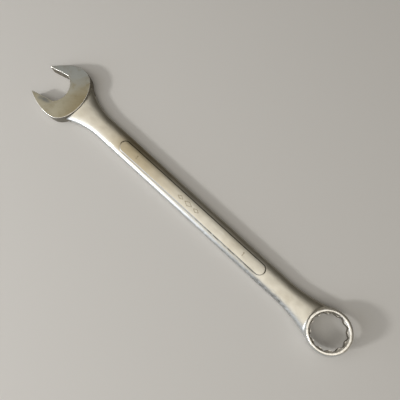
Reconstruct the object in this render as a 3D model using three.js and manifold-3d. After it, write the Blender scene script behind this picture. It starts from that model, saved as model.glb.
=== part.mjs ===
// Combination wrench for 1 inch hexagons: one steel forging with an open end and a 12-point ring end.
// Millimetres, +Z up. The wrench lies on its head and ring: +X runs from the open end to the ring.
import * as THREE from 'three';
import { mergeVertices } from 'three/addons/utils/BufferGeometryUtils.js';
import Module from 'manifold-3d';

const wasm = await Module();
wasm.setup();

// ---- driving dimensions, mm and degrees ----
const jawAcrossFlats = 25.4;       // open end, 1 inch
const ringAcrossFlats = 25.4;      // ring end, 1 inch
const centreDistance = 292.4;      // jaw centre to ring centre

const headThickness = 10.9;
const headEdge = 0.7;              // rounded rim of the ground head faces
const jawAngle = 15;               // the mouth's axis, from the handle's line
const throatDepth = 5.2;           // jaw centre to the bottom of the throat
const throatRelief = 2.2;          // the throat's radius is this much more than half the opening
const upperReach = 19.6;           // jaw centre to the upper and the lower jaw tip
const lowerReach = 22.6;
const upperCheek = 11.2;           // steel outside the upper and the lower flat, at its widest
const lowerCheek = 12.8;
const rearWall = 16.7;             // steel behind the throat
const tipWidth = 1.1;              // blunt end of each jaw

const shankHalfWidth = 9.45;
const shankThickness = 8.9;
const headNeckThickness = 8.5;     // the neck is thinner than the head, which leaves a step
const headNeckEnd = 50;            // where the neck's flare starts, from the jaw centre
const headNeckRadius = 64;         // flare of the neck's sides
const headNeckOverlap = 10;        // how far the handle runs into the head
const sectionPower = 2.7;          // 2 is an ellipse, higher is squarer

const ringThickness = 13.5;
const ringTilt = 15;               // the ring's far side is lifted
const ringRimWall = 2.1;           // steel outside the hole's corners at the ring's faces
const ringBelly = 1.4;             // how far the ring's wall swells past its rims
const ringBellyArc = 68.4;         // the swell is an arc, this far above and below its middle
const ringRimEdge = 0.5;
const leadIn = 1.5;                // depth of the cone at each mouth of the ring's hole
const leadInMargin = 0.35;         // and how far it opens past the hole's corners
const starTurn = -5;               // one corner of the hole, from the handle's line
const ringNeckStart = 46;          // flare of the ring's neck, before the ring centre
const ringNeckRadius = 116;
const ringNeckRise = 2.1;          // the neck climbs to meet the lifted ring
const ringNeckGrowth = 1.3;        // and gets thicker towards it
const ringNeckFull = 0.7;          // the climb ends at this share of the rim's radius
const ringNeckEnd = 0.55;          // and the handle at this one, inside the ring

const panelHeadGap = 70.3;         // jaw centre to the raised panel's near end
const panelRingGap = 65.4;         // panel's far end to the ring centre
const panelHalfWidth = 4.4;
const panelRise = 0.45;            // above the shank's faces
const panelEdge = 0.36;            // rounded rim of the panel

const cutMargin = 20;              // how far each cutting shape runs past the steel

const steelColour = '#b9b0a0';
const steelRoughness = 0.38;
const steelMetalness = 0.9;

// ---- sizes that follow ----
const jawHalf = jawAcrossFlats / 2;
const starOuter = ringAcrossFlats / 2 / Math.cos(Math.PI / 6);
const starInner = ringAcrossFlats / 2 / Math.cos(Math.PI / 12);
const rimRadius = starOuter + ringRimWall;
const tilt = THREE.MathUtils.degToRad(ringTilt);
// the lowest point of the tilted ring rests on the plane of the head's underside
const ringHeight = -headThickness / 2 + ringThickness / 2 * Math.cos(tilt) + rimRadius * Math.sin(tilt);

// ---- helpers ----
function solid(geometry) {
  const bare = geometry.clone();
  bare.deleteAttribute('normal');
  bare.deleteAttribute('uv');
  const merged = mergeVertices(bare, 1e-4);
  const mesh = new wasm.Mesh({
    numProp: 3,
    vertProperties: new Float32Array(merged.attributes.position.array),
    triVerts: new Uint32Array(merged.index.array),
  });
  return new wasm.Manifold(mesh);
}

function toGeometry(manifold) {
  const mesh = manifold.getMesh();
  const geometry = new THREE.BufferGeometry();
  geometry.setAttribute('position', new THREE.BufferAttribute(new Float32Array(mesh.vertProperties), 3));
  geometry.setIndex(new THREE.BufferAttribute(new Uint32Array(mesh.triVerts), 1));
  geometry.computeVertexNormals();
  return geometry;
}

// an extrusion centred on z = 0, with an optional rounded rim inside the outline
function slab(shape, thickness, edge = 0, curveSegments = 12) {
  const geometry = new THREE.ExtrudeGeometry(shape, {
    depth: thickness - 2 * edge,
    curveSegments,
    bevelEnabled: edge > 0,
    bevelThickness: edge,
    bevelSize: edge,
    bevelOffset: -edge,
    bevelSegments: 3,
  });
  return geometry.translate(0, 0, edge - thickness / 2);
}

// ---- open end ----
// Outline of the head before its mouth is cut: x points into the head along the jaw axis.
function headOutline() {
  const back = throatDepth + rearWall;
  const upper = jawHalf + upperCheek;
  const lower = -jawHalf - lowerCheek;
  const widest = 4;                // the cheeks are widest a little behind the jaw centre
  const rearmost = 1.5;            // height of the rearmost point
  const upperTip = { run: 8, drop: 5.7 };
  const lowerTip = { run: 6, drop: 5.1 };
  const upperFront = 8;            // how long each curve stays level with the cheek it leaves
  const upperRear = 12;
  const lowerFront = 9;
  const lowerRear = 10.5;
  const backRun = 13;              // and how long it follows the back
  const shape = new THREE.Shape();
  const curve = (x1, y1, x2, y2, x, y) => shape.bezierCurveTo(x1, y1, x2, y2, x, y);
  shape.moveTo(-upperReach, 0);
  shape.lineTo(-upperReach, jawHalf);
  shape.lineTo(-upperReach + tipWidth / 2, jawHalf + tipWidth);
  curve(-upperReach + upperTip.run, upper - upperTip.drop, widest - upperFront, upper, widest, upper);
  curve(widest + upperRear, upper, back, rearmost + backRun, back, rearmost);
  curve(back, rearmost - backRun, widest + lowerRear, lower, widest, lower);
  const lowerEnd = -jawHalf - tipWidth;
  curve(widest - lowerFront, lower, -lowerReach + lowerTip.run, lower + lowerTip.drop, -lowerReach, lowerEnd);
  shape.lineTo(-lowerReach, 0);
  shape.closePath();
  return shape;
}

function head() {
  return slab(headOutline(), headThickness, headEdge).rotateZ(THREE.MathUtils.degToRad(jawAngle));
}

// The mouth: two parallel flats that end in a round throat.
function mouth() {
  const throatRadius = jawHalf + throatRelief;
  const throatCentre = throatDepth - throatRadius;
  const halfOpening = Math.asin(jawHalf / throatRadius);
  const beyondTips = lowerReach + cutMargin;
  const shape = new THREE.Shape();
  shape.moveTo(-beyondTips, jawHalf);
  shape.lineTo(-beyondTips, -jawHalf);
  shape.absarc(throatCentre, 0, throatRadius, -halfOpening, halfOpening, false);
  shape.closePath();
  const curveSegments = 20;
  return slab(shape, headThickness + 2 * cutMargin, 0, curveSegments).rotateZ(THREE.MathUtils.degToRad(jawAngle));
}

// ---- handle ----
// Sideways growth of a flare of the given radius, a distance into it.
function flare(distance, radius) {
  const inside = Math.max(distance, 0);
  return radius - Math.sqrt(radius * radius - inside * inside);
}

function smooth(t) {
  const k = Math.min(Math.max(t, 0), 1);
  return k * k * (3 - 2 * k);
}

// Half-width, half-thickness and mid-height of the handle at x.
function section(x) {
  const intoHead = headNeckEnd - x;
  const intoRing = x - (centreDistance - ringNeckStart);
  const towardsRing = smooth(intoRing / (ringNeckStart - rimRadius * ringNeckFull));
  const towardsHead = smooth(intoHead / (headNeckEnd - throatDepth - rearWall));
  const neck = (headNeckThickness - shankThickness) * towardsHead + ringNeckGrowth * towardsRing;
  return {
    halfWidth: shankHalfWidth + flare(intoHead, headNeckRadius) + flare(intoRing, ringNeckRadius),
    halfThickness: (shankThickness + neck) / 2,
    height: ringNeckRise * towardsRing,
  };
}

// A unit cylinder whose rings become the handle's sections.
function handle() {
  const from = throatDepth + rearWall - headNeckOverlap;
  const to = centreDistance - rimRadius * ringNeckEnd;
  const rings = 44;
  const sides = 32;
  const geometry = new THREE.CylinderGeometry(1, 1, 1, sides, rings);
  const place = geometry.attributes.position;
  for (let i = 0; i < place.count; i += 1) {
    const x = from + (to - from) * (place.getY(i) + 0.5);
    const across = -place.getX(i);
    const up = place.getZ(i);
    const angle = Math.atan2(up, across);
    const reach = Math.hypot(across, up);
    const cos = Math.cos(angle);
    const sin = Math.sin(angle);
    const here = section(x);
    const y = Math.sign(cos) * Math.abs(cos) ** (2 / sectionPower) * here.halfWidth * reach;
    const z = Math.sign(sin) * Math.abs(sin) ** (2 / sectionPower) * here.halfThickness * reach;
    place.setXYZ(i, x, y, z + here.height);
  }
  return geometry;
}

// Raised panel on both faces: a bar with round ends that stands a little out of the shank.
function panels() {
  const from = panelHeadGap + panelHalfWidth;
  const to = centreDistance - panelRingGap - panelHalfWidth;
  const shape = new THREE.Shape();
  shape.moveTo(from, -panelHalfWidth);
  shape.absarc(to, 0, panelHalfWidth, -Math.PI / 2, Math.PI / 2, false);
  shape.absarc(from, 0, panelHalfWidth, Math.PI / 2, Math.PI * 1.5, false);
  shape.closePath();
  return slab(shape, shankThickness + 2 * panelRise, panelEdge);
}

// ---- ring end ----
function placeOnRing(geometry) {
  return geometry.rotateY(-tilt).translate(centreDistance, 0, ringHeight);
}

// Barrel-shaped ring, solid until the hole is cut.
function ring() {
  const half = ringThickness / 2;
  const profile = [new THREE.Vector2(0, -half), new THREE.Vector2(rimRadius - ringRimEdge, -half)];
  const steps = 10;
  const start = THREE.MathUtils.degToRad(ringBellyArc);
  for (let i = 0; i <= steps; i += 1) {
    const angle = -start + 2 * start * i / steps;
    const swell = (Math.cos(angle) - Math.cos(start)) / (1 - Math.cos(start));
    const height = Math.sin(angle) / Math.sin(start) * (half - ringRimEdge);
    profile.push(new THREE.Vector2(rimRadius + ringBelly * swell, height));
  }
  profile.push(new THREE.Vector2(rimRadius - ringRimEdge, half), new THREE.Vector2(0, half));
  const segments = 60;
  return placeOnRing(new THREE.LatheGeometry(profile, segments).rotateX(Math.PI / 2));
}

// Twelve-point hole: corners and reentrant corners take turns.
function starHole() {
  const shape = new THREE.Shape();
  const corners = 24;
  for (let i = 0; i < corners; i += 1) {
    const angle = THREE.MathUtils.degToRad(starTurn + i * 360 / corners);
    const radius = i % 2 === 0 ? starOuter : starInner;
    const x = Math.cos(angle) * radius;
    const y = Math.sin(angle) * radius;
    if (i === 0) shape.moveTo(x, y);
    else shape.lineTo(x, y);
  }
  shape.closePath();
  return placeOnRing(slab(shape, ringThickness + 2 * cutMargin));
}

// Cones that lead a nut into the hole from both faces.
function leadIns() {
  const half = ringThickness / 2;
  const past = 1;                  // the cones run on this far outside the ring's faces
  const wide = starOuter + leadInMargin + past;
  const narrow = starOuter + leadInMargin - leadIn;
  const profile = [
    new THREE.Vector2(0, -half - past),
    new THREE.Vector2(wide, -half - past),
    new THREE.Vector2(narrow, -half + leadIn),
    new THREE.Vector2(narrow, half - leadIn),
    new THREE.Vector2(wide, half + past),
    new THREE.Vector2(0, half + past),
  ];
  const segments = 72;
  return placeOnRing(new THREE.LatheGeometry(profile, segments).rotateX(Math.PI / 2));
}

// ---- the forging ----
function forging() {
  const body = solid(head())
    .add(solid(handle()))
    .add(solid(panels()))
    .add(solid(ring()));
  return body.subtract(solid(mouth())).subtract(solid(starHole())).subtract(solid(leadIns()));
}

const steel = new THREE.MeshStandardMaterial({
  color: steelColour,
  roughness: steelRoughness,
  metalness: steelMetalness,
});

// The origin goes below the middle of the wrench, on the surface that it lies on.
const geometry = toGeometry(forging());
geometry.computeBoundingBox();
const middle = geometry.boundingBox.getCenter(new THREE.Vector3());
geometry.translate(-middle.x, -middle.y, -geometry.boundingBox.min.z);

const forgingMesh = new THREE.Mesh(geometry, steel);
forgingMesh.name = 'wrench_forging';

const wrench = new THREE.Group();
wrench.name = 'combination_wrench';
wrench.add(forgingMesh);

export default wrench;
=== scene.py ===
import math

import bmesh
import bpy
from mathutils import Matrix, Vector


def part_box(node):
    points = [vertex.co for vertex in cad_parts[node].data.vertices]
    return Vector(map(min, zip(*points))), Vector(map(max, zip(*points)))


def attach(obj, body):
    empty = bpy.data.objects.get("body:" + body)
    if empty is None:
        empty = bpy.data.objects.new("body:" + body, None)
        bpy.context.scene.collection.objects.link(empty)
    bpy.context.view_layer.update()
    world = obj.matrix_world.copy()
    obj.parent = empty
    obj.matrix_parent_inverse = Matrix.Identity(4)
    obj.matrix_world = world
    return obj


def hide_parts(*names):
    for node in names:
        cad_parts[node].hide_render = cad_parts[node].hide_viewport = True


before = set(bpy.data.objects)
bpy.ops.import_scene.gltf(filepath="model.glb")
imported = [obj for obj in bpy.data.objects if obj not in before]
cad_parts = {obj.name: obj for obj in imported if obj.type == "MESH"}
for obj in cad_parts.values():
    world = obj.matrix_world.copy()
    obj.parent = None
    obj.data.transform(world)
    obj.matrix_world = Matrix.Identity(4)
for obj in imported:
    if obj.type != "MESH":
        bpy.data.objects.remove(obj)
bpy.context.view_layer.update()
low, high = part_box("wrench_forging")
mm = 0.001

# The wrench is modelled with its jaw centre at the origin, halfway up the handle.
# In the frame that centre is this far in from the box's left end, back edge and bottom.
inFromEnd, inFromBack, upFromBottom = 22.22, 24.81, 5.45
jawCentre = Vector((low.x + inFromEnd * mm, high.y - inFromBack * mm, low.z + upFromBottom * mm))


def clearSelection():
    if bpy.context.mode != "OBJECT":
        bpy.ops.object.mode_set(mode="OBJECT")
    bpy.ops.object.select_all(action="DESELECT")


def only(*pieces):
    # selects these pieces and nothing else, and makes the last one active
    clearSelection()
    for piece in pieces:
        piece.select_set(True)
    bpy.context.view_layer.objects.active = pieces[-1]


def fresh(name):
    # the primitive that was just added, named
    piece = bpy.context.object
    piece.name = name
    piece.data.name = name
    return piece


def twin(piece):
    # a copy with a mesh of its own
    other = piece.copy()
    other.data = piece.data.copy()
    bpy.context.scene.collection.objects.link(other)
    return other


def pick(kind, test):
    # in edit mode: selects only the verts, edges or faces that pass the test
    data = bpy.context.object.data
    bpy.ops.mesh.select_mode(type=kind)
    bpy.ops.mesh.select_all(action="DESELECT")
    cage = bmesh.from_edit_mesh(data)
    parts = {"VERT": cage.verts, "EDGE": cage.edges, "FACE": cage.faces}[kind]
    for part in parts:
        if test(part):
            part.select_set(True)
    cage.select_flush_mode()
    bmesh.update_edit_mesh(data)


def edit(piece):
    only(piece)
    bpy.ops.object.mode_set(mode="EDIT")
    bpy.ops.mesh.select_all(action="DESELECT")


def outwards(piece):
    # merges doubles, then turns every face outwards
    edit(piece)
    bpy.ops.mesh.select_all(action="SELECT")
    bpy.ops.mesh.remove_doubles(threshold=0.004 * mm)
    bpy.ops.mesh.normals_make_consistent(inside=False)
    bpy.ops.object.mode_set(mode="OBJECT")


def modify(piece, kind, **settings):
    only(piece)
    modifier = piece.modifiers.new(kind.lower(), kind)
    for name, value in settings.items():
        setattr(modifier, name, value)
    bpy.ops.object.modifier_apply(modifier=modifier.name)


def cut(piece, tool, operation="DIFFERENCE"):
    modify(piece, "BOOLEAN", object=tool, operation=operation, solver="MANIFOLD")
    bpy.data.objects.remove(tool)


def settle(piece):
    only(piece)
    bpy.ops.object.transform_apply(location=True, rotation=True, scale=True)


def turnOver(piece):
    piece.rotation_euler.x = math.pi
    settle(piece)


def flatCurve(name, points, thickness):
    # an outline drawn with bezier points (place, left handle, right handle) and made a thick plate
    clearSelection()
    bpy.ops.curve.primitive_bezier_circle_add(radius=10 * mm, location=(0, 0, 0))
    piece = fresh(name)
    curve = piece.data
    curve.dimensions = "2D"
    curve.fill_mode = "BOTH"
    curve.resolution_u = 28
    curve.extrude = thickness / 2 * mm
    spline = curve.splines[0]
    spline.bezier_points.add(len(points) - len(spline.bezier_points))
    for knot, (place, left, right) in zip(spline.bezier_points, points):
        knot.handle_left_type = knot.handle_right_type = "FREE"
        knot.co = (place[0] * mm, place[1] * mm, 0)
        knot.handle_left = (left[0] * mm, left[1] * mm, 0)
        knot.handle_right = (right[0] * mm, right[1] * mm, 0)
    only(piece)
    bpy.ops.object.convert(target="MESH")
    outwards(piece)
    return piece


handleSizes = {
    "halfWidth": 9.45, "thickness": 8.9, "squareness": 0.598,      # bevel profile of the section
    "headNeckEnd": 50, "headNeckRadius": 64, "headNeckThickness": 8.5, "start": 11.9,
    "ringNeckStart": 246.4, "ringNeckRadius": 116, "ringNeckRise": 1.8, "ringNeckGrowth": 0.8,
    "end": 283.2, "backOfHead": 21.9, "ringClimbEnd": 280.7,
    "headStep": 1.5, "headSteps": 26, "ringSteps": 24,      # stations along the two necks
    "barStations": [60, 75, 95, 120, 145, 170, 195, 215, 232],
}


def smoothStep(t):
    t = min(max(t, 0), 1)
    return t * t * (3 - 2 * t)


def flare(distance, radius):
    distance = max(distance, 0)
    return radius - math.sqrt(radius * radius - distance * distance)


def handleSection(x):
    # half width, half thickness and height of the handle's middle at x
    s = handleSizes
    intoHead = s["headNeckEnd"] - x
    intoRing = x - s["ringNeckStart"]
    towardsHead = smoothStep(intoHead / (s["headNeckEnd"] - s["backOfHead"]))
    towardsRing = smoothStep(intoRing / (s["ringClimbEnd"] - s["ringNeckStart"]))
    halfWidth = s["halfWidth"] + flare(intoHead, s["headNeckRadius"]) + flare(intoRing, s["ringNeckRadius"])
    thickness = s["thickness"] + (s["headNeckThickness"] - s["thickness"]) * towardsHead
    thickness += s["ringNeckGrowth"] * towardsRing
    return halfWidth, thickness / 2, s["ringNeckRise"] * towardsRing


def makeHandle():
    s = handleSizes
    clearSelection()
    bpy.ops.mesh.primitive_cube_add(size=2, location=(0, 0, 0))
    handle = fresh("handle")
    edit(handle)
    # the four long edges are rolled over until the section is a squarish ellipse
    pick("EDGE", lambda e: abs(e.verts[0].co.x - e.verts[1].co.x) > 1)
    nearlyAll = 0.9995
    bpy.ops.mesh.bevel(offset=nearlyAll, offset_type="OFFSET", segments=20, profile=s["squareness"])
    pick("FACE", lambda f: f.normal.x > -0.9)
    bpy.ops.mesh.delete(type="FACE")
    bpy.ops.mesh.select_all(action="SELECT")
    bpy.ops.mesh.remove_doubles(threshold=0.002)
    # stations close together where the sides flare, far apart along the straight bar
    ringNeck = s["end"] - s["ringNeckStart"]
    stations = [s["start"] + s["headStep"] * i for i in range(s["headSteps"])] + s["barStations"]
    stations += [s["ringNeckStart"] + ringNeck * i / s["ringSteps"] for i in range(s["ringSteps"] + 1)]
    halfWidth, halfThickness, height = handleSection(stations[0])
    bpy.ops.transform.resize(value=(1, halfWidth * mm, halfThickness * mm), center_override=(0, 0, 0))
    bpy.ops.transform.translate(value=(1 + stations[0] * mm, 0, height * mm))
    for before, here in zip(stations, stations[1:]):
        wasWide, wasThick, wasHigh = handleSection(before)
        wide, thick, up = handleSection(here)
        step = ((here - before) * mm, 0, (up - wasHigh) * mm)
        bpy.ops.mesh.extrude_region_move(TRANSFORM_OT_translate={"value": step})
        centre = (here * mm, 0, up * mm)
        bpy.ops.transform.resize(value=(1, wide / wasWide, thick / wasThick), center_override=centre)
    outwards(handle)
    return handle


headSizes = {
    "acrossFlats": 25.4, "thickness": 10.9, "angle": 15, "blankExtra": 1.5,
    "throatDepth": 5.2, "throatRelief": 2.2, "back": 21.9, "upper": 23.9, "lower": -25.5,
    "widest": 4, "rearmost": 1.5, "upperTip": 19.34, "lowerTip": 22.4, "edgeWidth": 0.4, "edgeDrop": 0.26,
}


def makeHeadBlank():
    s = headSizes
    upper, lower, widest, back, rear = s["upper"], s["lower"], s["widest"], s["back"], s["rearmost"]
    # both tips run on past their length, and are trimmed once the blank has been smoothed
    points = [
        ((-21.6, 12.3), (-22.5, 4.5), (-13.2, 17.2)),
        ((widest, upper), (widest - 8, upper), (widest + 12, upper)),
        ((back, rear), (back, rear + 13), (back, rear - 13)),
        ((widest, lower), (widest + 10.5, lower), (widest - 9, lower)),
        ((-24.6, -11.6), (-18.0, -18.9), (-23.6, -3.5)),
    ]
    head = flatCurve("head", points, s["thickness"] + s["blankExtra"])
    head.rotation_euler.z = math.radians(s["angle"])
    settle(head)
    return head


ringSizes = {
    "acrossFlats": 25.4, "centre": 292.4, "height": 5.4106, "tilt": 15, "thickness": 13.5, "wall": 2.1,
    "belly": 1.4, "bellyArc": 68.4, "edge": 0.5, "turn": -5, "leadIn": 1.5, "leadInMargin": 0.35,
    "blankExtra": 1.0, "edgeWidth": 0.5, "edgeDrop": 0.25, "grindMargin": 0.1, "rimSearch": 0.6,
}


def starCorner():
    # ring centre to the corners of the twelve-point hole, which are those of two hexagons
    return ringSizes["acrossFlats"] / 2 / math.cos(math.radians(30))


def ringRim():
    return starCorner() + ringSizes["wall"]


def placeOnRing(piece):
    s = ringSizes
    piece.rotation_euler.y = -math.radians(s["tilt"])
    piece.location = (s["centre"] * mm, 0, s["height"] * mm)
    settle(piece)
    return piece


def makeRingBlank():
    s = ringSizes
    half = (s["thickness"] + s["blankExtra"]) / 2
    arc = math.radians(s["bellyArc"])
    clearSelection()
    bpy.ops.mesh.primitive_cylinder_add(vertices=120, radius=1, depth=2 * half * mm, location=(0, 0, 0))
    ring = fresh("ring")
    edit(ring)
    pick("EDGE", lambda e: abs(e.verts[0].co.z - e.verts[1].co.z) > half * mm)
    bpy.ops.mesh.subdivide(number_cuts=15)
    # each level of the wall is scaled to its place on the swell
    levels = sorted({round(v.co.z / mm, 3) for v in bmesh.from_edit_mesh(ring.data).verts})
    for level in levels:
        pick("VERT", lambda v: abs(v.co.z / mm - level) < 0.01)
        rise = min(1, abs(level) / (s["thickness"] / 2 - s["edge"]))
        angle = math.asin(rise * math.sin(arc))
        swell = (math.cos(angle) - math.cos(arc)) / (1 - math.cos(arc))
        radius = (ringRim() + s["belly"] * swell) * mm
        bpy.ops.transform.resize(value=(radius, radius, 1), center_override=(0, 0, 0))
    outwards(ring)
    return placeOnRing(ring)


finishing = {
    "voxel": 0.56, "smoothing": 0.5, "passes": 12, "filletPasses": 14,
    "filletAt": 1.5, "filletReach": 5, "filletPast": 4,      # mm outside the ring's rim, and past its centre
    "shankFrom": 36, "shankTo": 264, "fade": 8,
}


def weigh(piece, name, share):
    # a vertex group whose weight is worked out from each vertex's place in mm
    group = piece.vertex_groups.new(name=name)
    for vertex in piece.data.vertices:
        weight = share(vertex.co / mm)
        if weight > 0.001:
            group.add([vertex.index], min(weight, 1), "REPLACE")


def makeBlank():
    f = finishing
    handle = makeHandle()
    guide = twin(handle)
    head = makeHeadBlank()
    ring = makeRingBlank()
    only(head, ring, handle)
    bpy.ops.object.join()
    blank = fresh("wrench")
    modify(blank, "REMESH", mode="VOXEL", voxel_size=f["voxel"] * mm, adaptivity=0)
    modify(blank, "SMOOTH", factor=f["smoothing"], iterations=f["passes"])

    # deeper fillets where the ring meets its neck
    def besideRing(p):
        away = math.hypot(p.x - ringSizes["centre"], p.y) - ringRim()
        share = smoothStep(1 - abs(away - f["filletAt"]) / f["filletReach"])
        return share if p.x < ringSizes["centre"] + f["filletPast"] else 0

    weigh(blank, "fillet", besideRing)
    modify(blank, "SMOOTH", factor=f["smoothing"], iterations=f["filletPasses"], vertex_group="fillet")

    # the bar between the necks is laid back onto its true section, so that its highlights run straight
    def alongShank(p):
        begun = smoothStep((p.x - f["shankFrom"]) / f["fade"] + 1)
        notEnded = smoothStep((f["shankTo"] - p.x) / f["fade"] + 1)
        return begun * notEnded

    weigh(blank, "shank", alongShank)
    modify(blank, "SHRINKWRAP", target=guide, wrap_method="NEAREST_SURFACEPOINT", vertex_group="shank")
    return blank, guide


def turnedBox(name, x0, x1, y0, y1, z0, z1, angle=0):
    clearSelection()
    bpy.ops.mesh.primitive_cube_add(size=1, location=(0, 0, 0))
    box = fresh(name)
    box.scale = ((x1 - x0) * mm, (y1 - y0) * mm, (z1 - z0) * mm)
    box.location = ((x0 + x1) / 2 * mm, (y0 + y1) / 2 * mm, (z0 + z1) / 2 * mm)
    settle(box)
    box.rotation_euler.z = math.radians(angle)
    settle(box)
    return box


# sizes of the cutting shapes in mm, all well past the steel
toolReach = {"end": 45, "neck": 60, "side": 40, "deep": 20, "bore": 44, "grind": 10, "mouth": 50}


def mouthTool():
    # a disc trimmed to the opening's width, then drawn out past the jaw tips
    s, t = headSizes, toolReach
    half = s["acrossFlats"] / 2
    radius = half + s["throatRelief"]
    centre = s["throatDepth"] - radius
    clearSelection()
    bpy.ops.mesh.primitive_cylinder_add(vertices=160, radius=radius * mm, depth=2 * t["deep"] * mm,
                                        location=(0, 0, 0))
    tool = fresh("mouth")
    edit(tool)
    chord = math.sqrt(radius * radius - half * half) * mm
    sides = [((0, half * mm, 0), (0, 1, 0)), ((0, -half * mm, 0), (0, -1, 0)), ((chord, 0, 0), (-1, 0, 0))]
    for place, normal in sides:
        bpy.ops.mesh.select_all(action="SELECT")
        bpy.ops.mesh.bisect(plane_co=place, plane_no=normal, use_fill=True, clear_outer=True)
    openSide = 100 * mm * mm      # the flat side towards the tips is bigger than this
    pick("FACE", lambda f: f.normal.x < -0.99 and f.calc_area() > openSide)
    bpy.ops.mesh.extrude_region_move(TRANSFORM_OT_translate={"value": (-t["mouth"] * mm, 0, 0)})
    tool.location.x = centre * mm
    outwards(tool)
    settle(tool)
    tool.rotation_euler.z = math.radians(s["angle"])
    settle(tool)
    return tool


def starTool():
    s = ringSizes
    outer = starCorner()
    inner = s["acrossFlats"] / 2 / math.cos(math.radians(15))
    clearSelection()
    bpy.ops.mesh.primitive_cylinder_add(vertices=24, radius=outer * mm, depth=toolReach["bore"] * mm,
                                        location=(0, 0, 0))
    tool = fresh("star")
    edit(tool)
    # every other upright edge is pushed in to make the twelve points

    def isInner(v):
        step = math.degrees(math.atan2(v.co.y, v.co.x)) / 15
        return round(step) % 2 == 1

    pick("VERT", isInner)
    bpy.ops.transform.resize(value=(inner / outer, inner / outer, 1), center_override=(0, 0, 0))
    outwards(tool)
    tool.rotation_euler.z = math.radians(s["turn"])
    settle(tool)
    return placeOnRing(tool)


def leadInTool(side):
    s = ringSizes
    past = 2      # mm that the cone stands proud of the face
    atFace = starCorner() + s["leadInMargin"]
    wide, narrow = atFace + past, atFace - s["leadIn"]
    depth = s["leadIn"] + past
    middle = s["thickness"] / 2 + (past - s["leadIn"]) / 2
    clearSelection()
    bpy.ops.mesh.primitive_cone_add(vertices=180, radius1=narrow * mm, radius2=wide * mm, depth=depth * mm,
                                    location=(0, 0, middle * mm))
    tool = fresh("lead-in")
    settle(tool)
    if side < 0:
        turnOver(tool)
    return placeOnRing(tool)


def ringFaceTool(side):
    # a cone that grinds the ring's face flat and opens away from the neck
    s, deep = ringSizes, toolReach["grind"]
    face = s["thickness"] / 2 - s["edgeDrop"]
    reach = ringRim() + s["grindMargin"]
    clearSelection()
    bpy.ops.mesh.primitive_cone_add(vertices=160, radius1=reach * mm, radius2=(reach + deep) * mm,
                                    depth=deep * mm, location=(0, 0, (face + deep / 2) * mm))
    tool = fresh("ring face")
    settle(tool)
    if side < 0:
        turnOver(tool)
    return placeOnRing(tool)


rolledEdge = ((0.42, 0.7), (0.58, 0.3))      # each inset's share of the edge's width and of its climb


def raiseFace(piece, centre, normal, radius, width, drop):
    # a ground face gets a narrow rolled edge: two insets that climb back to the full height
    flat = Vector(normal)

    def onFace(f):
        away = f.calc_center_median() - Vector(centre)
        level = abs(away.dot(flat)) < 0.02 * mm and f.normal.dot(flat) > 0.999
        return level and away.length < radius

    edit(piece)
    pick("FACE", onFace)
    bpy.ops.mesh.region_to_loop()
    bpy.ops.mesh.remove_doubles(threshold=0.2 * mm)
    pick("FACE", onFace)
    bpy.ops.mesh.dissolve_limited(angle_limit=math.radians(0.5))
    pick("FACE", onFace)
    for ofWidth, ofClimb in rolledEdge:
        bpy.ops.mesh.inset(thickness=width * ofWidth * mm, depth=drop * ofClimb * mm, use_even_offset=False)
    bpy.ops.object.mode_set(mode="OBJECT")


def tiltedPoint(x, z):
    # a point of the ring's own frame, in the wrench's
    s = ringSizes
    tilt = math.radians(s["tilt"])
    return ((s["centre"] + x * math.cos(tilt) - z * math.sin(tilt)) * mm, 0,
            (s["height"] + x * math.sin(tilt) + z * math.cos(tilt)) * mm)


def machine(wrench):
    h = headSizes
    face = h["thickness"] / 2 - h["edgeDrop"]
    end, neck, side, deep, grind = (toolReach[k] for k in ("end", "neck", "side", "deep", "grind"))
    cut(wrench, mouthTool())
    cut(wrench, turnedBox("upper tip trim", -end, -h["upperTip"], 0, side, -deep, deep, h["angle"]))
    cut(wrench, turnedBox("lower tip trim", -end, -h["lowerTip"], -side, 0, -deep, deep, h["angle"]))
    cut(wrench, turnedBox("top grind", -end, neck, -side, side, face, face + grind))
    cut(wrench, turnedBox("bottom grind", -end, neck, -side, side, -face - grind, -face))
    print("mouth cut and head faces ground")
    cut(wrench, ringFaceTool(1))
    cut(wrench, ringFaceTool(-1))
    cut(wrench, starTool())
    cut(wrench, leadInTool(1))
    cut(wrench, leadInTool(-1))
    print("ring broached")
    for up in (1, -1):
        raiseFace(wrench, (0, 0, up * face * mm), (0, 0, up), neck * mm, h["edgeWidth"], h["edgeDrop"])
    r = ringSizes
    tilt = math.radians(r["tilt"])
    for up in (1, -1):
        centre = tiltedPoint(0, up * (r["thickness"] / 2 - r["edgeDrop"]))
        normal = (-math.sin(tilt) * up, 0, math.cos(tilt) * up)
        raiseFace(wrench, centre, normal, (ringRim() + r["rimSearch"]) * mm, r["edgeWidth"], r["edgeDrop"])
    print("edges of the ground faces rolled")


panelSizes = {
    "from": 70.3, "to": 227.0, "halfWidth": 4.4, "proud": 0.5, "foot": 3.2, "top": 5.2,
    "spread": 1.27, "lean": 1.78, "rise": 1.6,      # the sloping side: how far its foot is out, run, height
    "footLine": 0.5,
}
quarterArc = 0.5523      # handle length of a bezier quarter circle, as a share of its radius


def stadium(name, grow, thickness):
    # a bar with round ends, as bezier points
    s = panelSizes
    radius = s["halfWidth"] + grow
    x0, x1 = s["from"] + s["halfWidth"], s["to"] - s["halfWidth"]
    k = radius * quarterArc
    run = 20      # handle length along the straight sides, where any length gives the same line
    points = [
        ((x0, -radius), (x0 - k, -radius), (x0 + run, -radius)),
        ((x1, -radius), (x1 - run, -radius), (x1 + k, -radius)),
        ((x1 + radius, 0), (x1 + radius, -k), (x1 + radius, k)),
        ((x1, radius), (x1 + k, radius), (x1 - run, radius)),
        ((x0, radius), (x0 + run, radius), (x0 - k, radius)),
        ((x0 - radius, 0), (x0 - radius, k), (x0 - radius, -k)),
    ]
    return flatCurve(name, points, thickness)


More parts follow.
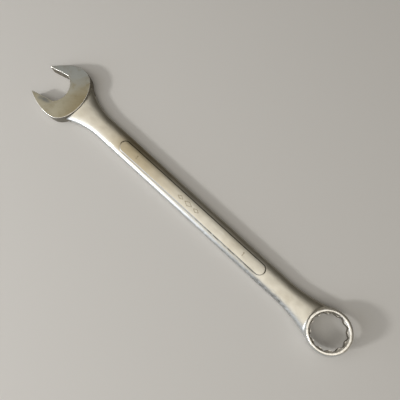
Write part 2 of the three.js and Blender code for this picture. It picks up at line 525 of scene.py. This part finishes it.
def makePanel(side, guide):
    # the raised pad: a plate with drafted sides, crowned by the shape of the bar itself
    s = panelSizes
    height = s["top"] - s["foot"]
    pad = stadium("panel", s["spread"], height)
    pad.location.z = (s["top"] + s["foot"]) / 2 * mm
    settle(pad)
    edit(pad)
    pick("FACE", lambda f: f.normal.z > 0.9)
    bpy.ops.mesh.dissolve_limited(angle_limit=math.radians(1))
    pick("FACE", lambda f: f.normal.z > 0.9)
    # the foot stays wide up to the bar's face, and the sides lean in from there
    bpy.ops.transform.translate(value=(0, 0, -s["rise"] * mm))
    bpy.ops.mesh.inset(thickness=s["lean"] * mm, depth=s["rise"] * mm)
    bpy.ops.object.mode_set(mode="OBJECT")
    if side < 0:
        turnOver(pad)
    crown = twin(guide)
    crown.scale.z = 1 + s["proud"] / (handleSizes["thickness"] / 2)
    settle(crown)
    cut(pad, crown, "INTERSECT")
    return pad


marks = {
    "figures": (88.5, 205.4), "figureHeight": 3.6, "depth": 0.26, "line": 0.5, "stampHeight": 1,
    "flagLength": 1.2, "flagTurn": 42, "flagShare": 0.8,
    "lozenges": ((137.6, 6.0, 3.4), (146.0, 8.0, 4.3), (154.4, 6.0, 3.4)),      # place, length, width
    "cornerRound": 0.25, "alongLines": 2.8, "acrossLines": 2.2,      # what the line takes off inside
}


def markFloor():
    return handleSizes["thickness"] / 2 + panelSizes["proud"] - marks["depth"]


def sizeMark(x):
    # a plain figure one, for the opening in inches: an upright stroke with a short flag
    floor, top = markFloor(), markFloor() + marks["stampHeight"]
    half, width = marks["figureHeight"] / 2, marks["line"] / 2
    flagStart, flagHalf = -marks["flagLength"], width * marks["flagShare"]
    stroke = turnedBox("size figure", x - width, x + width, -half, half, floor, top)
    flag = turnedBox("flag", flagStart, width / 2, -flagHalf, flagHalf, floor, top, marks["flagTurn"])
    flag.location = (x * mm, (half - width) * mm, 0)
    settle(flag)
    cut(stroke, flag, "UNION")
    return stroke


def lozenge(x, length, width, height):
    # a four-sided bar about the middle of the stamp's height
    clearSelection()
    bpy.ops.mesh.primitive_cylinder_add(vertices=4, radius=1 * mm, depth=height * mm, location=(0, 0, 0))
    mark = fresh("lozenge")
    mark.scale = (length / 2, width / 2, 1)
    mark.location = (x * mm, 0, (markFloor() + marks["stampHeight"] / 2) * mm)
    settle(mark)
    return mark


def lozengeMark(x, length, width):
    # a plain lozenge drawn as a line: the stamp is hollow inside
    m = marks
    mark = lozenge(x, length, width, m["stampHeight"])
    edit(mark)
    pick("EDGE", lambda e: abs(e.verts[0].co.z - e.verts[1].co.z) > m["stampHeight"] / 2 * mm)
    bpy.ops.mesh.bevel(offset=m["cornerRound"] * mm, segments=3)
    bpy.ops.object.mode_set(mode="OBJECT")
    inner = (length - m["line"] * m["alongLines"], width - m["line"] * m["acrossLines"])
    cut(mark, lozenge(x, *inner, 3 * m["stampHeight"]))
    return mark


# small knocks of long use, stretched along the handle: x, y, half width and depth
dents = [
    (63.2, -6.9, 0.9, 0.12), (65.9, -6.6, 0.7, 0.10), (70.7, -2.3, 0.7, 0.10),
    (227.9, -7.6, 0.9, 0.11), (234.6, -7.9, 0.8, 0.12), (241.6, -5.5, 1.0, 0.10), (245.8, -7.9, 0.8, 0.13),
    (251.4, -8.3, 0.9, 0.13), (257.2, -8.5, 0.9, 0.12), (207.5, -6.2, 0.7, 0.10), (216.0, -7.8, 0.8, 0.10),
    (110.0, -7.6, 0.6, 0.09), (171.0, -7.9, 0.7, 0.09),
]
dentStretch = 2.4      # length of a knock against its width


def dent(piece, x, y, halfWidth, depth):
    # the skin is pushed in as by a glancing blow
    for vertex in piece.data.vertices:
        place = vertex.co / mm
        if place.z < 0:
            continue
        away = math.hypot((place.x - x) / dentStretch, place.y - y) / halfWidth
        if away < 1:
            vertex.co -= vertex.normal * depth * (1 - away * away) ** 2 * mm


print("making the forged blank")
wrench, guide = makeBlank()
print("blank", len(wrench.data.polygons), "faces")
for place in dents:
    dent(wrench, *place)
for side in (1, -1):
    cut(wrench, makePanel(side, guide), "UNION")
bpy.data.objects.remove(guide)
machine(wrench)
for x in marks["figures"]:
    cut(wrench, sizeMark(x))
for x, length, width in marks["lozenges"]:
    cut(wrench, lozengeMark(x, length, width))
print("panels raised and stamped")

# softer edges (in degrees) are shaded smooth, except the panels' own, found within these mm of the outline
shading = {"smoothUnder": 32, "panelCrispOver": 14, "pastEnds": 1, "pastSides": 1.3, "normalWeight": 60}


def onPanelEdge(e):
    # the crisp edges at the top and the foot of both panels
    s, d = panelSizes, shading
    x, y, z = (e.verts[0].co + e.verts[1].co) / 2 / mm
    alongPanel = s["from"] - d["pastEnds"] < x < s["to"] + d["pastEnds"]
    if not alongPanel or abs(y) >= s["halfWidth"] + d["pastSides"] or abs(z) <= s["top"] - s["rise"]:
        return False
    return len(e.link_faces) == 2 and e.calc_face_angle() > math.radians(d["panelCrispOver"])


only(wrench)
bpy.ops.object.shade_smooth_by_angle(angle=math.radians(shading["smoothUnder"]))
edit(wrench)
pick("EDGE", onPanelEdge)
bpy.ops.mesh.mark_sharp()
bpy.ops.object.mode_set(mode="OBJECT")
modify(wrench, "TRIANGULATE", min_vertices=5)
modify(wrench, "WEIGHTED_NORMAL", keep_sharp=True, weight=shading["normalWeight"])
wrench.location = jawCentre
settle(wrench)
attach(wrench, "root")
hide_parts("wrench_forging")
print("wrench", len(wrench.data.polygons), "faces", [round(d / mm, 2) for d in wrench.dimensions])


def linear(code):
    # sRGB hex to the linear colour that nodes take
    channels = [int(code[i:i + 2], 16) / 255 for i in (1, 3, 5)]
    return [c / 12.92 if c <= 0.04045 else ((c + 0.055) / 1.055) ** 2.4 for c in channels] + [1]


def add(tree, kind, inputs=None, out=0, **settings):
    # one node with its settings, values and links; hands back the output asked for
    made = tree.nodes.new("ShaderNode" + kind)
    for name, value in settings.items():
        setattr(made, name, value)
    for name, value in (inputs or {}).items():
        if isinstance(value, bpy.types.NodeSocket):
            tree.links.new(value, made.inputs[name])
        else:
            made.inputs[name].default_value = value
    return made.outputs[out] if made.outputs else None


def newMaterial(name):
    material = bpy.data.materials.new(name)
    material.use_nodes = True
    material.node_tree.nodes.clear()
    return material, material.node_tree


def wrenchPlace(tree, along=1, across=None, up=None, turn=0):
    # the piece's own coordinates from the jaw centre; one pattern unit is this many mm along the bar,
    # and as many across and up where no other number is given
    across, up = across or along, up or along
    own = add(tree, "TexCoord", out="Object")
    return add(tree, "Mapping", {"Vector": own, "Location": jawCentre,
                                 "Rotation": (0, 0, math.radians(turn)),
                                 "Scale": (along * mm, across * mm, up * mm)}, vector_type="TEXTURE")


satin = {
    # the cool colour is a painted reflection on the near side, the film colour painted shade down the far
    # side, and the grime colour both dirt and painted shade
    "bright": "#d5d1c5", "patina": "#bdb4a0", "cool": "#dde1e2", "rubbed": "#f0ece4", "stain": "#a89b7e",
    "grimeAndShade": "#342b1f", "farSideShade": "#4d4435", "farSideShadeShare": 0.65,
    "roughLow": 0.34, "roughHigh": 0.42, "dirtRough": 0.3,
    "clouds": 34, "blotches": 6, "skin": 0.9, "pits": 0.8,      # mm from one patch to the next
    "scratchLength": 20, "scratchWidth": 0.6, "scratchTurn": 3,
    "skinHeight": 0.025, "scratchHeight": 0.008, "pitHeight": 0.07,      # mm
    "grainStart": (130, 215), "grainEnd": (284, 258),      # fades, in mm from the jaw centre
    "stainStart": (52, 78), "stainEnd": (150, 80), "brokenStart": (145, 175),
    "footReach": (0.55, 0.15),      # mm from the foot's line, where the grime thins out and is full
}


def satinPlatedSteel(name="satin plated drop-forged steel", m=satin):
    # Drop-forged carbon steel, tumbled and satin plated: a soft broad gloss with a warm cast, a faintly
    # uneven skin from the dies, a grainy stretch near the ring, brown grime in the corners, and painted
    # light: shade down the far side and along the panel's far foot, and a cool reflection on the near side.
    material, tree = newMaterial(name)
    along = add(tree, "SeparateXYZ", {0: wrenchPlace(tree)}, "X")
    across = along.node.outputs["Y"]
    facing = add(tree, "SeparateXYZ", {0: add(tree, "TexCoord", out="Normal")}, "Y")
    clouds = add(tree, "TexNoise", {"Vector": wrenchPlace(tree, m["clouds"]),
                                    "Scale": 1, "Detail": 2})
    blotches = add(tree, "TexNoise", {"Vector": wrenchPlace(tree, m["blotches"]),
                                      "Scale": 1, "Detail": 4, "Roughness": 0.6})
    skin = add(tree, "TexNoise", {"Vector": wrenchPlace(tree, m["skin"]),
                                  "Scale": 1, "Detail": 3, "Roughness": 0.6})
    # the grain is drawn out along the bar, as the steel flowed in the dies
    pits = add(tree, "TexNoise", {"Vector": wrenchPlace(tree, m["pits"] * 3, m["pits"], m["pits"]),
                                  "Scale": 1, "Detail": 2, "Roughness": 0.7})
    # handling marks run mostly along the bar
    wide = m["scratchWidth"]
    drawnOut = wrenchPlace(tree, m["scratchLength"], wide, wide, m["scratchTurn"])
    scratches = add(tree, "TexNoise", {"Vector": drawnOut, "Scale": 1, "Detail": 3, "Roughness": 0.65})

    # the grainy stretch: the near shoulder, on the ring's half of the bar
    thin, full = m["grainStart"]
    grown = add(tree, "MapRange", {"Value": along, "From Min": thin, "From Max": full},
                interpolation_type="SMOOTHSTEP")
    thin, full = m["grainEnd"]
    ended = add(tree, "MapRange", {"Value": along, "From Min": thin, "From Max": full},
                interpolation_type="SMOOTHSTEP")
    low = add(tree, "MapRange", {"Value": facing, "From Min": -0.30, "From Max": -0.80},
              interpolation_type="SMOOTHSTEP")
    grain = add(tree, "Math", {0: add(tree, "Math", {0: grown, 1: ended}, operation="MULTIPLY"), 1: low},
                operation="MULTIPLY")

    # a dark line round the panel's foot, grime in part and painted shade in part: the distance from the
    # panel's outline
    s = panelSizes
    middle, reach = (s["from"] + s["to"]) / 2, (s["to"] - s["from"]) / 2 - s["halfWidth"]
    fromMiddle = add(tree, "Math", {0: along, 1: middle}, operation="SUBTRACT")
    fromMiddle = add(tree, "Math", {0: fromMiddle}, operation="ABSOLUTE")
    pastEnd = add(tree, "Math", {0: fromMiddle, 1: reach}, operation="SUBTRACT")
    pastEnd = add(tree, "Math", {0: pastEnd, 1: 0.0}, operation="MAXIMUM")
    around = add(tree, "CombineXYZ", {"X": pastEnd, "Y": across})
    around = add(tree, "VectorMath", {0: around}, "Value", operation="LENGTH")
    fromFoot = add(tree, "Math", {0: around, 1: s["halfWidth"] + s["footLine"]}, operation="SUBTRACT")
    fromFoot = add(tree, "Math", {0: fromFoot}, operation="ABSOLUTE")
    thin, full = m["footReach"]
    corner = add(tree, "MapRange", {"Value": fromFoot, "From Min": thin, "From Max": full},
                 interpolation_type="SMOOTHSTEP")
    # most of it on the far side, where it is painted shade, and as grime in broken runs on the near side of
    # the ring's half
    farSideFootShade = add(tree, "MapRange", {"Value": across, "From Min": -2.5, "From Max": 2.0},
                  interpolation_type="SMOOTHSTEP")
    broken = add(tree, "MapRange", {"Value": blotches, "From Min": 0.42, "From Max": 0.56, "To Max": 0.7},
                 interpolation_type="SMOOTHSTEP")
    thin, full = m["brokenStart"]
    nearRing = add(tree, "MapRange", {"Value": along, "From Min": thin, "From Max": full},
                   interpolation_type="SMOOTHSTEP")
    nearRing = add(tree, "Math", {0: nearRing, 1: broken}, operation="MULTIPLY")
    farShadeNearGrime = add(tree, "Math", {0: farSideFootShade, 1: nearRing}, operation="MAXIMUM")
    grimeAndShade = add(tree, "Math", {0: corner, 1: farShadeNearGrime}, operation="MULTIPLY")

    # a little in the pits of the grainy stretch as well
    hollow = add(tree, "MapRange", {"Value": pits, "From Min": 0.50, "From Max": 0.38, "To Max": 0.5},
                 interpolation_type="SMOOTHSTEP")
    pitted = add(tree, "Math", {0: grain, 1: hollow}, operation="MULTIPLY")
    dirtAndShade = add(tree, "Math", {0: grimeAndShade, 1: pitted}, operation="MAXIMUM", use_clamp=True)
    # and a painted shade of dark brown down the far side
    farSideShade = add(tree, "MapRange", {"Value": facing, "From Min": 0.40, "From Max": 0.95,
                                  "To Max": m["farSideShadeShare"]}, interpolation_type="SMOOTHSTEP")

    patchy = add(tree, "Mix", {"Factor": 0.3, "A": clouds, "B": blotches}, data_type="FLOAT")
    aged = add(tree, "MapRange", {"Value": patchy, "From Min": 0.36, "From Max": 0.64, "To Max": 0.45},
               interpolation_type="SMOOTHSTEP")
    # the head's half of the panel is stained browner
    thin, full = m["stainEnd"]
    stainFade = add(tree, "MapRange", {"Value": along, "From Min": thin, "From Max": full, "To Max": 0.85},
                    interpolation_type="SMOOTHSTEP")
    thin, full = m["stainStart"]
    stainStart = add(tree, "MapRange", {"Value": along, "From Min": thin, "From Max": full},
                     interpolation_type="SMOOTHSTEP")
    stain = add(tree, "Math", {0: stainFade, 1: stainStart}, operation="MULTIPLY")
    # painted reflection: faces turned to the near side are tinted cool, like the window light they mirror
    nearSideCoolReflection = add(tree, "MapRange", {"Value": facing, "From Min": -0.06, "From Max": -0.55, "To Max": 0.85},
                   interpolation_type="SMOOTHSTEP")
    rubbed = add(tree, "MapRange", {"Value": scratches, "From Min": 0.60, "From Max": 0.76, "To Max": 0.15},
                 interpolation_type="SMOOTHSTEP")
    colour = linear(m["bright"])
    # the cool tint is a painted reflection, the film painted shade, and the dirt partly painted shade
    for share, over in ((aged, m["patina"]), (stain, m["stain"]), (nearSideCoolReflection, m["cool"]),
                        (rubbed, m["rubbed"]), (farSideShade, m["farSideShade"]), (dirtAndShade, m["grimeAndShade"])):
        colour = add(tree, "Mix", {0: share, 6: colour, 7: linear(over)}, 2, data_type="RGBA")

    rough = add(tree, "MapRange", {"Value": blotches, "From Min": 0.35, "From Max": 0.65,
                                   "To Min": m["roughLow"], "To Max": m["roughHigh"]})
    rough = add(tree, "Math", {0: dirtAndShade, 1: m["dirtRough"], 2: rough}, operation="MULTIPLY_ADD",
                use_clamp=True)

    # forging skin everywhere, then the scratches, then the grain
    height = add(tree, "Math", {0: skin, 1: m["skinHeight"]}, operation="MULTIPLY")
    height = add(tree, "Math", {0: scratches, 1: m["scratchHeight"], 2: height}, operation="MULTIPLY_ADD")
    grainHeight = add(tree, "Math", {0: pits, 1: grain}, operation="MULTIPLY")
    height = add(tree, "Math", {0: grainHeight, 1: m["pitHeight"], 2: height}, operation="MULTIPLY_ADD")
    bump = add(tree, "Bump", {"Height": height, "Strength": 1.0, "Distance": 1 * mm})
    shader = add(tree, "BsdfPrincipled", {"Base Color": colour, "Metallic": 1.0, "Roughness": rough,
                                          "Normal": bump})
    add(tree, "OutputMaterial", {"Surface": shader})
    return material


# the head's sides were left as forged: the same plating on a duller skin, darker partly as forged skin and
# partly as painted shade
forgedSidesPaintedDarker = dict(satin, bright="#8d877b", patina="#776f60", cool="#8f8c84", stain="#776f60",
                   roughLow=0.42, roughHigh=0.55)


ground = {
    "cool": "#a3a6a3", "warm": "#aaa592", "deep": "#8f8365", "clean": "#c4c3bc", "smudge": "#62666a",
    "roughLow": 0.38, "roughHigh": 0.48, "blotches": 6,
    "wheelMark": 0.55, "markLength": 20, "markDeep": 5, "markTurn": 35,      # mm, degrees
    "markHeight": 0.008, "blotchHeight": 0.02,
    "stainStart": 0.40, "stainAcross": -0.032, "stainAlong": 0.016,      # at the jaw's centre, then per mm
    "smudgeAt": (-8.5, -14.8), "smudgeReach": (8.5, 3.2),      # mm in the jaw's own frame
    "stainBreak": 0.7, "smudgeBreak": 1.4,      # how much the blotches break up each one's edge
}


def groundPlatedSteel():
    # The head's faces were ground flat before plating: fine straight wheel marks, too close to see singly
    # and drawn here half a millimetre apart, under a stain that goes from blue-grey to brown at the rear.
    material, tree = newMaterial("surface ground and plated steel")
    m = ground
    jawX = add(tree, "SeparateXYZ", {0: wrenchPlace(tree, turn=headSizes["angle"])}, "X")
    jawY = jawX.node.outputs["Y"]
    blotches = add(tree, "TexNoise", {"Vector": wrenchPlace(tree, m["blotches"]),
                                      "Scale": 1, "Detail": 4, "Roughness": 0.62})
    ruled = wrenchPlace(tree, m["markLength"], m["wheelMark"], m["markDeep"], m["markTurn"])
    wheel = add(tree, "TexNoise", {"Vector": ruled, "Scale": 1, "Detail": 2, "Roughness": 0.6})
    # the stain deepens from the upper jaw round to the rear and the lower cheek
    fall = add(tree, "Math", {0: jawY, 1: m["stainAcross"], 2: m["stainStart"]}, operation="MULTIPLY_ADD")
    fall = add(tree, "Math", {0: jawX, 1: m["stainAlong"], 2: fall}, operation="MULTIPLY_ADD")
    fall = add(tree, "Math", {0: blotches, 1: m["stainBreak"], 2: fall}, operation="MULTIPLY_ADD")
    stain = add(tree, "MapRange", {"Value": fall, "From Min": 0.20, "From Max": 1.05},
                interpolation_type="SMOOTHSTEP")
    rear = add(tree, "MapRange", {"Value": jawX, "From Min": 2, "From Max": 20, "To Max": 0.75},
               interpolation_type="SMOOTHSTEP")
    rear = add(tree, "Math", {0: rear, 1: stain}, operation="MULTIPLY")
    spots = add(tree, "MapRange", {"Value": blotches, "From Min": 0.50, "From Max": 0.72, "To Max": 0.35},
                interpolation_type="SMOOTHSTEP")
    shine = add(tree, "MapRange", {"Value": wheel, "From Min": 0.52, "From Max": 0.76, "To Max": 0.14},
                interpolation_type="SMOOTHSTEP")
    # a dark smudge where nuts have rubbed the lower jaw's inner edge
    across = [add(tree, "Math", {0: axis, 1: 1 / reach, 2: -at / reach}, operation="MULTIPLY_ADD")
              for axis, at, reach in zip((jawX, jawY), m["smudgeAt"], m["smudgeReach"])]
    away = add(tree, "VectorMath", {0: add(tree, "CombineXYZ", {"X": across[0], "Y": across[1]})}, "Value",
               operation="LENGTH")
    away = add(tree, "Math", {0: blotches, 1: m["smudgeBreak"], 2: away}, operation="MULTIPLY_ADD")
    smudge = add(tree, "MapRange", {"Value": away, "From Min": 1.75, "From Max": 0.75, "To Max": 0.75},
                 interpolation_type="SMOOTHSTEP")
    colour = linear(m["cool"])
    for share, over in ((stain, m["warm"]), (rear, m["deep"]), (spots, m["deep"]), (shine, m["clean"]),
                        (smudge, m["smudge"])):
        colour = add(tree, "Mix", {0: share, 6: colour, 7: linear(over)}, 2, data_type="RGBA")
    rough = add(tree, "MapRange", {"Value": blotches, "From Min": 0.3, "From Max": 0.7,
                                   "To Min": m["roughLow"], "To Max": m["roughHigh"]})
    height = add(tree, "Math", {0: wheel, 1: m["markHeight"]}, operation="MULTIPLY")
    height = add(tree, "Math", {0: blotches, 1: m["blotchHeight"], 2: height}, operation="MULTIPLY_ADD")
    bump = add(tree, "Bump", {"Height": height, "Strength": 1.0, "Distance": 1 * mm})
    shader = add(tree, "BsdfPrincipled", {"Base Color": colour, "Metallic": 1.0, "Roughness": rough,
                                          "Normal": bump})
    add(tree, "OutputMaterial", {"Surface": shader})
    return material


burnished = {"bright": "#edeae3", "worn": "#dfdacf", "patches": 2.2, "roughLow": 0.26, "roughHigh": 0.36,
             "patchHeight": 0.02}


def burnishedSteel():
    # Edges and rims rubbed bright by nuts, benches and pockets: the plating is polished or gone.
    material, tree = newMaterial("rubbed bright steel edge")
    m = burnished
    patches = add(tree, "TexNoise", {"Vector": wrenchPlace(tree, m["patches"]),
                                     "Scale": 1, "Detail": 3, "Roughness": 0.6})
    worn = add(tree, "MapRange", {"Value": patches, "From Min": 0.42, "From Max": 0.66},
               interpolation_type="SMOOTHSTEP")
    colour = add(tree, "Mix", {0: worn, 6: linear(m["bright"]), 7: linear(m["worn"])}, 2, data_type="RGBA")
    rough = add(tree, "MapRange", {"Value": patches, "From Min": 0.35, "From Max": 0.65,
                                   "To Min": m["roughLow"], "To Max": m["roughHigh"]})
    height = add(tree, "Math", {0: patches, 1: m["patchHeight"]}, operation="MULTIPLY")
    bump = add(tree, "Bump", {"Height": height, "Strength": 1.0, "Distance": 1 * mm})
    shader = add(tree, "BsdfPrincipled", {"Base Color": colour, "Metallic": 1.0, "Roughness": rough,
                                          "Normal": bump})
    add(tree, "OutputMaterial", {"Surface": shader})
    return material


broached = {"bright": "#969285", "patina": "#756e5f", "groove": "#5f5748",
            "roughLow": 0.34, "roughHigh": 0.5, "patches": 4,
            "grooves": 0.45, "grooveLength": 8, "grooveHeight": 0.04}


def broachedSteel():
    # Jaw flats and the twelve points were broached: grooves in the tool's direction of travel,
    # through the thickness, with plating worn off where nuts bear and grime between.
    material, tree = newMaterial("broached steel")
    m = broached
    upright = wrenchPlace(tree, m["grooves"], m["grooves"], m["grooveLength"])
    grooves = add(tree, "TexNoise", {"Vector": upright, "Scale": 1, "Detail": 2, "Roughness": 0.6})
    patches = add(tree, "TexNoise", {"Vector": wrenchPlace(tree, m["patches"]),
                                     "Scale": 1, "Detail": 3, "Roughness": 0.6})
    aged = add(tree, "MapRange", {"Value": patches, "From Min": 0.35, "From Max": 0.65},
               interpolation_type="SMOOTHSTEP")
    deep = add(tree, "MapRange", {"Value": grooves, "From Min": 0.5, "From Max": 0.35, "To Max": 0.5},
               interpolation_type="SMOOTHSTEP")
    colour = linear(m["bright"])
    for share, over in ((aged, m["patina"]), (deep, m["groove"])):
        colour = add(tree, "Mix", {0: share, 6: colour, 7: linear(over)}, 2, data_type="RGBA")
    rough = add(tree, "MapRange", {"Value": patches, "From Min": 0.3, "From Max": 0.7,
                                   "To Min": m["roughLow"], "To Max": m["roughHigh"]})
    height = add(tree, "Math", {0: grooves, 1: m["grooveHeight"]}, operation="MULTIPLY")
    bump = add(tree, "Bump", {"Height": height, "Strength": 1.0, "Distance": 1 * mm})
    shader = add(tree, "BsdfPrincipled", {"Base Color": colour, "Metallic": 1.0, "Roughness": rough,
                                          "Normal": bump})
    add(tree, "OutputMaterial", {"Surface": shader})
    return material


stamped = {"dark": "#857962", "light": "#b5aa90", "patches": 0.8, "roughness": 0.5}


def stampedGrime():
    # The floors of the stamped marks hold dried oil and dirt: dark, dull and slightly warm.
    material, tree = newMaterial("grimy stamped steel")
    m = stamped
    patches = add(tree, "TexNoise", {"Vector": wrenchPlace(tree, m["patches"]),
                                     "Scale": 1, "Detail": 2, "Roughness": 0.6})
    share = add(tree, "MapRange", {"Value": patches, "From Min": 0.4, "From Max": 0.65},
                interpolation_type="SMOOTHSTEP")
    colour = add(tree, "Mix", {0: share, 6: linear(m["dark"]), 7: linear(m["light"])}, 2, data_type="RGBA")
    shader = add(tree, "BsdfPrincipled", {"Base Color": colour, "Metallic": 1.0,
                                          "Roughness": m["roughness"]})
    add(tree, "OutputMaterial", {"Surface": shader})
    return material


# where one finish gives way to another: places and margins in mm, and the upward share of a face's normal
borders = {
    "headEnd": 30, "throatStart": -4, "flatEnd": 1, "slack": 0.15, "cheekFrom": 20, "cheekTo": 24,
    "ringStart": 22, "rimOut": 0.4, "leadInFrom": 1.3, "boreFrom": 1.6,
    "stampHalf": 2.6, "stampDeep": 0.06, "stampEnds": 5,
    "level": 0.995, "rolled": 0.3, "upright": 0.2, "steep": 0.6,
}


def assignFinishes(piece):
    # each face takes the finish of the tool that made it, told by its place and direction
    h, r, s, b = headSizes, ringSizes, panelSizes, borders
    angle, tilt = math.radians(h["angle"]), math.radians(r["tilt"])
    half = h["acrossFlats"] / 2
    throat = half + h["throatRelief"]
    panelTop = handleSizes["thickness"] / 2 + s["proud"]
    satinSlot, groundSlot, edgeSlot, broachSlot, grimeSlot, sideSlot = range(6)
    headTop, ringTop = h["thickness"] / 2, r["thickness"] / 2
    for face in piece.data.polygons:
        c, n = (face.center - jawCentre) / mm, face.normal
        slot = satinSlot
        if c.x < b["headEnd"]:
            x = c.x * math.cos(angle) + c.y * math.sin(angle)
            y = -c.x * math.sin(angle) + c.y * math.cos(angle)
            fromThroat = abs(math.hypot(x - h["throatDepth"] + throat, y) - throat)
            onFlat = abs(abs(y) - half) < b["slack"] and x < b["flatEnd"]
            onThroat = fromThroat < b["slack"] and x > b["throatStart"]
            if abs(c.z) > headTop - 0.02 and abs(n.z) > b["level"]:
                slot = groundSlot
            elif abs(c.z) > headTop - h["edgeDrop"] - 0.01 and abs(n.z) > b["rolled"]:
                slot = edgeSlot
            elif (onFlat or onThroat) and abs(n.z) < b["upright"]:
                slot = broachSlot
            elif abs(n.z) < b["steep"] and c.x < b["cheekTo"] and math.hypot(c.x, c.y) > b["cheekFrom"]:
                slot = sideSlot
        elif c.x > r["centre"] - b["ringStart"]:
            x, z = c.x - r["centre"], c.z - r["height"]
            out = x * math.cos(tilt) + z * math.sin(tilt)
            up = -x * math.sin(tilt) + z * math.cos(tilt)
            reach = math.hypot(out, c.y)
            if reach < ringRim() + b["rimOut"] and abs(up) > ringTop - r["edgeDrop"] - 0.02:
                slot = edgeSlot
            elif reach < ringRim() - b["leadInFrom"] and abs(up) > ringTop - r["leadIn"] - 0.1:
                slot = edgeSlot
            elif reach < ringRim() - b["boreFrom"]:
                slot = broachSlot
        elif abs(c.y) < b["stampHalf"] and 0 < c.z < panelTop - b["stampDeep"]:
            if s["from"] + b["stampEnds"] < c.x < s["to"] - b["stampEnds"]:
                slot = grimeSlot
        face.material_index = slot


wrench.data.materials.clear()
for make in (satinPlatedSteel, groundPlatedSteel, burnishedSteel, broachedSteel, stampedGrime):
    wrench.data.materials.append(make())
wrench.data.materials.append(satinPlatedSteel("satin plated steel, as forged, darkened as painted shade", forgedSidesPaintedDarker))
assignFinishes(wrench)
print("six finishes laid on")


studio = {
    "floor": "#d6d4d0", "floorSize": 6.0, "floorRough": 0.9, "room": "#4f4b44",      # places in metres
    "window": {"place": (-0.56, -0.94, 0.60), "size": (1.3, 1.15), "watts": 5.0, "colour": "#f0f5ff"},
    "lamp": {"place": (-0.66, -1.10, 0.78), "size": (0.16, 0.16), "watts": 7.5, "colour": "#fffdfa"},
    "overhead": {"place": (0.08, -0.24, 1.20), "size": (2.3, 1.0), "watts": 9.0, "colour": "#fffbf4",
                 "turn": (0, 0, 0)},
}


def makeFloor():
    clearSelection()
    bpy.ops.mesh.primitive_plane_add(size=studio["floorSize"], location=(0, 0, low.z))
    floor = fresh("floor")
    material, tree = newMaterial("matt paper backdrop")
    shader = add(tree, "BsdfPrincipled", {"Base Color": linear(studio["floor"]),
                                          "Roughness": studio["floorRough"]})
    add(tree, "OutputMaterial", {"Surface": shader})
    floor.data.materials.append(material)


def softbox(name, place, size, watts, colour, turn=None):
    # a rectangle of light, turned as given or else towards the wrench
    clearSelection()
    bpy.ops.object.light_add(type="AREA", location=place)
    lamp = fresh(name)
    lamp.data.shape = "RECTANGLE"
    lamp.data.size, lamp.data.size_y = size
    lamp.data.energy = watts
    lamp.data.color = linear(colour)[:3]
    lamp.rotation_euler = turn or (-Vector(place)).to_track_quat("-Z", "Y").to_euler()


def makeRoom():
    world = bpy.data.worlds.new("room")
    world.use_nodes = True
    world.node_tree.nodes.clear()
    sky = add(world.node_tree, "Background", {"Color": linear(studio["room"]), "Strength": 1.0})
    add(world.node_tree, "OutputWorld", {"Surface": sky})
    bpy.context.scene.world = world


cameraSizes = {"place": (43.67, -21.16, 330.08), "turn": (8.372, 1.256, 42.610),      # mm, degrees
               "lens": 35.95, "sensor": 36, "clipStart": 0.01}


def makeCamera():
    clearSelection()
    bpy.ops.object.camera_add(location=[c * mm for c in cameraSizes["place"]],
                              rotation=[math.radians(a) for a in cameraSizes["turn"]])
    camera = fresh("camera")
    camera.data.lens = cameraSizes["lens"]
    camera.data.sensor_width = cameraSizes["sensor"]
    camera.data.clip_start = cameraSizes["clipStart"]
    bpy.context.scene.camera = camera


makeFloor()
for name in ("window", "lamp", "overhead"):
    softbox(name, **studio[name])
makeRoom()
makeCamera()
bpy.context.scene.view_settings.view_transform = "Standard"
print("floor, light and camera set")
